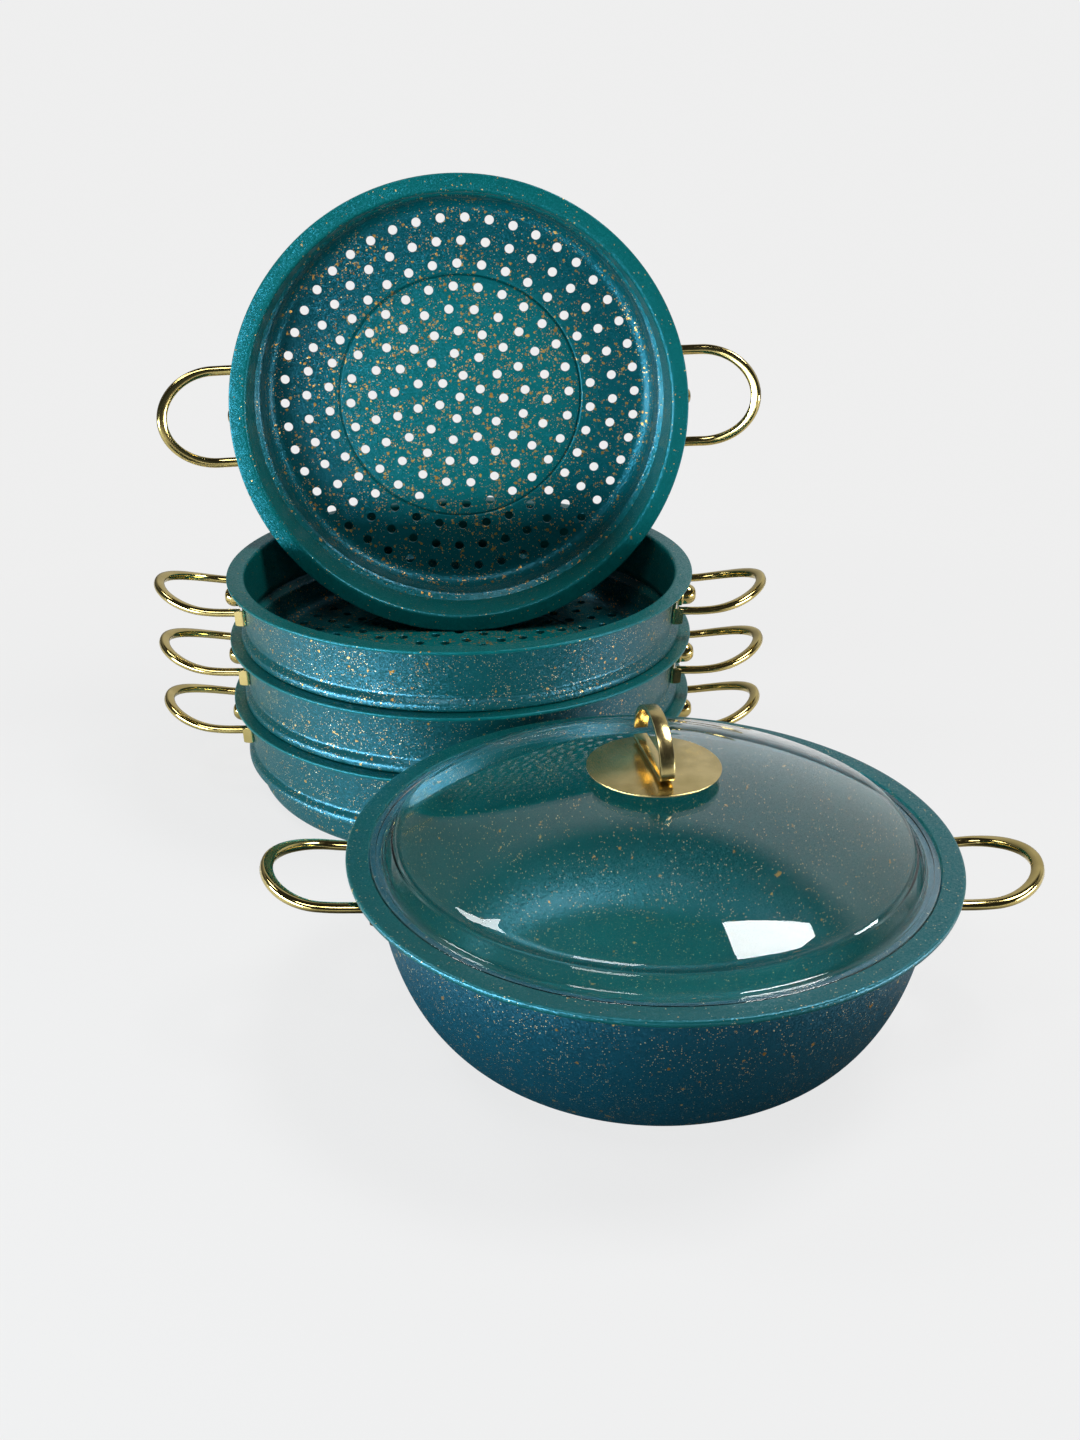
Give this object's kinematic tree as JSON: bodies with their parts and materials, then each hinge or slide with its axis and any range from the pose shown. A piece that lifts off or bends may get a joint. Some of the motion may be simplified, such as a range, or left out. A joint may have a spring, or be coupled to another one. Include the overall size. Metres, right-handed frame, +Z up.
{
  "type": "manti steamer",
  "caption": "Manti steamer set: bowl-shaped pot with a domed glass lid, nested sieve tiers with perforated floors and a further tier shown upright, with loop handles on wall brackets.",
  "frame": {"origin": "centre of the pot's flat base, on the surface that the pot and the lowest tier stand on", "axes": "+Z up, -Y towards the viewer of the picture, +X towards the right handles"},
  "size_m": [0.5598, 0.6611, 0.4326],
  "materials": {
    "coat": "satin non-stick coat on pressed aluminium, teal with gold speckle",
    "gold": "polished gold plating",
    "glass": "clear tempered glass",
    "silicone": "matte",
    "steel": "bright"
  },
  "bodies": {
    "pot": {"pot_body": "coat", "pot_right_bracket": "gold", "pot_right_handle": "gold", "pot_right_cap": "gold", "pot_left_bracket": "gold", "pot_left_handle": "gold", "pot_left_cap": "gold"},
    "lid": {"lid_glass": "glass", "lid_gasket": "silicone", "lid_knob_plate": "gold", "lid_knob_loop": "gold", "lid_washer": "steel", "lid_screw": "steel"},
    "tier_1": {"tier_1_body": "coat", "tier_1_right_bracket": "gold", "tier_1_right_handle": "gold", "tier_1_right_cap": "gold", "tier_1_left_bracket": "gold", "tier_1_left_handle": "gold", "tier_1_left_cap": "gold"},
    "tier_2": {"tier_2_body": "coat", "tier_2_right_bracket": "gold", "tier_2_right_handle": "gold", "tier_2_right_cap": "gold", "tier_2_left_bracket": "gold", "tier_2_left_handle": "gold", "tier_2_left_cap": "gold"},
    "tier_3": {"tier_3_body": "coat", "tier_3_right_bracket": "gold", "tier_3_right_handle": "gold", "tier_3_right_cap": "gold", "tier_3_left_bracket": "gold", "tier_3_left_handle": "gold", "tier_3_left_cap": "gold"},
    "tier_4": {"tier_4_body": "coat", "tier_4_right_bracket": "gold", "tier_4_right_handle": "gold", "tier_4_right_cap": "gold", "tier_4_left_bracket": "gold", "tier_4_left_handle": "gold", "tier_4_left_cap": "gold"}
  },
  "joints": [
    {"name": "lid_lift", "type": "slide", "parent": "pot", "child": "lid", "axis": [0, 0, 1], "range_m": [0, 0.12]},
    {"name": "tier_1_lift", "type": "slide", "parent": "pot", "child": "tier_1", "axis": [0, 0, 1], "range_m": [0, 0.15]},
    {"name": "tier_2_lift", "type": "slide", "parent": "tier_1", "child": "tier_2", "axis": [0, 0, 1], "range_m": [0, 0.08]},
    {"name": "tier_3_lift", "type": "slide", "parent": "tier_2", "child": "tier_3", "axis": [0, 0, 1], "range_m": [0, 0.08]},
    {"name": "tier_4_lift", "type": "slide", "parent": "tier_3", "child": "tier_4", "axis": [0, 0, 1], "range_m": [0, 0.12]}
  ]
}
